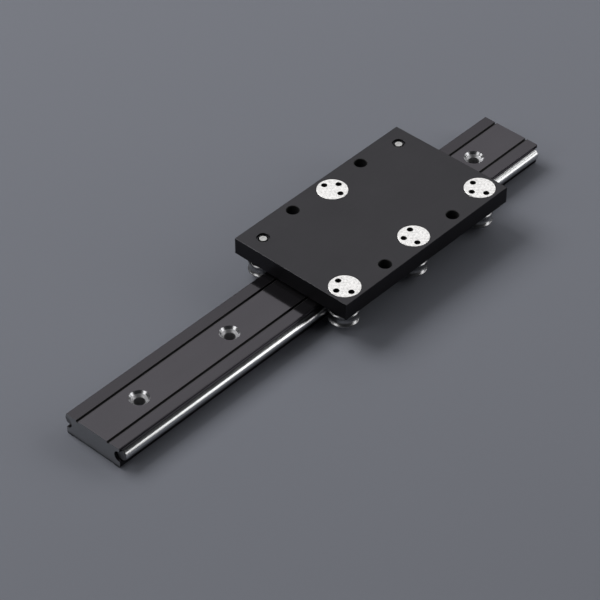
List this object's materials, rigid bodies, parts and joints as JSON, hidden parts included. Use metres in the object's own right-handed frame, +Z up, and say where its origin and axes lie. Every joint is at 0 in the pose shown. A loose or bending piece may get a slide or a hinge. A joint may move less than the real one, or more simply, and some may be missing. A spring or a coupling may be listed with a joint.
{
  "type": "dual shaft guide rail",
  "caption": "Linear guide: a flat aluminium rail with a steel shaft in each side, and a carriage plate that rolls along on grooved ball bearing rollers.",
  "frame": {"origin": "middle of the rail's underside", "axes": "+X along the rail, towards the end that the carriage is nearer to at rest; +Y across, towards the two fixed axles; +Z up, out of the carriage plate's top"},
  "size_m": [0.5, 0.121, 0.0392],
  "materials": {
    "rail": "black anodised, drawn",
    "plate": "black anodised, fine milled",
    "shaft": "hardened and ground",
    "roller": "ground bearing steel",
    "bearing": "ground bearing steel",
    "balls": "polished",
    "axle": "turned, bright plated",
    "nut": "zinc plated",
    "spacer": "blackened",
    "seal": "moulded"
  },
  "bodies": {
    "rail": {"rail_extrusion": "rail", "shaft_left": "shaft", "shaft_right": "shaft"},
    "carriage": {"carriage_plate": "plate", "fixed_axle_left_near": "axle", "fixed_axle_left_far": "axle", "spacer_left_near": "spacer", "spacer_left_far": "spacer", "inner_ring_left_near": "bearing", "inner_ring_left_far": "bearing"},
    "adjuster_left_middle": {"eccentric_axle_left_middle": "axle", "lock_nut_left_middle": "nut", "spacer_left_middle": "spacer", "inner_ring_left_middle": "bearing"},
    "adjuster_right_near": {"eccentric_axle_right_near": "axle", "lock_nut_right_near": "nut", "spacer_right_near": "spacer", "inner_ring_right_near": "bearing"},
    "adjuster_right_middle": {"eccentric_axle_right_middle": "axle", "lock_nut_right_middle": "nut", "spacer_right_middle": "spacer", "inner_ring_right_middle": "bearing"},
    "adjuster_right_far": {"eccentric_axle_right_far": "axle", "lock_nut_right_far": "nut", "spacer_right_far": "spacer", "inner_ring_right_far": "bearing"},
    "roller_left_near": {"outer_ring_left_near": "roller", "upper_seal_left_near": "seal", "lower_seal_left_near": "seal"},
    "roller_left_middle": {"outer_ring_left_middle": "roller", "upper_seal_left_middle": "seal", "lower_seal_left_middle": "seal"},
    "roller_left_far": {"outer_ring_left_far": "roller", "upper_seal_left_far": "seal", "lower_seal_left_far": "seal"},
    "roller_right_near": {"outer_ring_right_near": "roller", "upper_seal_right_near": "seal", "lower_seal_right_near": "seal"},
    "roller_right_middle": {"outer_ring_right_middle": "roller", "upper_seal_right_middle": "seal", "lower_seal_right_middle": "seal"},
    "roller_right_far": {"outer_ring_right_far": "roller", "upper_seal_right_far": "seal", "lower_seal_right_far": "seal"},
    "ball_set_left_near": {"ball_cage_left_near": "balls"},
    "ball_set_left_middle": {"ball_cage_left_middle": "balls"},
    "ball_set_left_far": {"ball_cage_left_far": "balls"},
    "ball_set_right_near": {"ball_cage_right_near": "balls"},
    "ball_set_right_middle": {"ball_cage_right_middle": "balls"},
    "ball_set_right_far": {"ball_cage_right_far": "balls"}
  },
  "joints": [
    {"name": "carriage_slide", "type": "slide", "parent": "rail", "child": "carriage", "axis": [1, 0, 0], "range_m": [-0.2197, 0.0809]},
    {"name": "adjust_left_middle", "type": "hinge", "parent": "carriage", "child": "adjuster_left_middle", "pos_m": [0.0694, 0.04415, 0.0117], "axis": [0, 0, 1], "range_deg": [0, 180]},
    {"name": "adjust_right_near", "type": "hinge", "parent": "carriage", "child": "adjuster_right_near", "pos_m": [-0.0141, -0.04415, 0.0117], "axis": [0, 0, 1], "range_deg": [0, 180]},
    {"name": "adjust_right_middle", "type": "hinge", "parent": "carriage", "child": "adjuster_right_middle", "pos_m": [0.0694, -0.04415, 0.0117], "axis": [0, 0, 1], "range_deg": [0, 180]},
    {"name": "adjust_right_far", "type": "hinge", "parent": "carriage", "child": "adjuster_right_far", "pos_m": [0.1529, -0.04415, 0.0117], "axis": [0, 0, 1], "range_deg": [0, 180]},
    {"name": "roller_spin_left_near", "type": "hinge", "parent": "carriage", "child": "roller_left_near", "pos_m": [-0.0141, 0.04415, 0.0117], "axis": [0, 0, 1], "continuous": true},
    {"name": "ball_set_spin_left_near", "type": "hinge", "parent": "carriage", "child": "ball_set_left_near", "pos_m": [-0.0141, 0.04415, 0.0117], "axis": [0, 0, 1], "continuous": true},
    {"name": "roller_spin_left_middle", "type": "hinge", "parent": "adjuster_left_middle", "child": "roller_left_middle", "pos_m": [0.07015, 0.04415, 0.0117], "axis": [0, 0, 1], "continuous": true},
    {"name": "ball_set_spin_left_middle", "type": "hinge", "parent": "adjuster_left_middle", "child": "ball_set_left_middle", "pos_m": [0.07015, 0.04415, 0.0117], "axis": [0, 0, 1], "continuous": true},
    {"name": "roller_spin_left_far", "type": "hinge", "parent": "carriage", "child": "roller_left_far", "pos_m": [0.1529, 0.04415, 0.0117], "axis": [0, 0, 1], "continuous": true},
    {"name": "ball_set_spin_left_far", "type": "hinge", "parent": "carriage", "child": "ball_set_left_far", "pos_m": [0.1529, 0.04415, 0.0117], "axis": [0, 0, 1], "continuous": true},
    {"name": "roller_spin_right_near", "type": "hinge", "parent": "adjuster_right_near", "child": "roller_right_near", "pos_m": [-0.01485, -0.04415, 0.0117], "axis": [0, 0, 1], "continuous": true},
    {"name": "ball_set_spin_right_near", "type": "hinge", "parent": "adjuster_right_near", "child": "ball_set_right_near", "pos_m": [-0.01485, -0.04415, 0.0117], "axis": [0, 0, 1], "continuous": true},
    {"name": "roller_spin_right_middle", "type": "hinge", "parent": "adjuster_right_middle", "child": "roller_right_middle", "pos_m": [0.06865, -0.04415, 0.0117], "axis": [0, 0, 1], "continuous": true},
    {"name": "ball_set_spin_right_middle", "type": "hinge", "parent": "adjuster_right_middle", "child": "ball_set_right_middle", "pos_m": [0.06865, -0.04415, 0.0117], "axis": [0, 0, 1], "continuous": true},
    {"name": "roller_spin_right_far", "type": "hinge", "parent": "adjuster_right_far", "child": "roller_right_far", "pos_m": [0.15215, -0.04415, 0.0117], "axis": [0, 0, 1], "continuous": true},
    {"name": "ball_set_spin_right_far", "type": "hinge", "parent": "adjuster_right_far", "child": "ball_set_right_far", "pos_m": [0.15215, -0.04415, 0.0117], "axis": [0, 0, 1], "continuous": true}
  ],
  "couplings": [
    {"joint": "roller_spin_left_near", "follows": "carriage_slide", "rad_per_m": -91.324},
    {"joint": "ball_set_spin_left_near", "follows": "carriage_slide", "rad_per_m": -56.25},
    {"joint": "roller_spin_left_middle", "follows": "carriage_slide", "rad_per_m": -91.324},
    {"joint": "ball_set_spin_left_middle", "follows": "carriage_slide", "rad_per_m": -56.25},
    {"joint": "roller_spin_left_far", "follows": "carriage_slide", "rad_per_m": -91.324},
    {"joint": "ball_set_spin_left_far", "follows": "carriage_slide", "rad_per_m": -56.25},
    {"joint": "roller_spin_right_near", "follows": "carriage_slide", "rad_per_m": 91.324},
    {"joint": "ball_set_spin_right_near", "follows": "carriage_slide", "rad_per_m": 56.25},
    {"joint": "roller_spin_right_middle", "follows": "carriage_slide", "rad_per_m": 91.324},
    {"joint": "ball_set_spin_right_middle", "follows": "carriage_slide", "rad_per_m": 56.25},
    {"joint": "roller_spin_right_far", "follows": "carriage_slide", "rad_per_m": 91.324},
    {"joint": "ball_set_spin_right_far", "follows": "carriage_slide", "rad_per_m": 56.25}
  ]
}
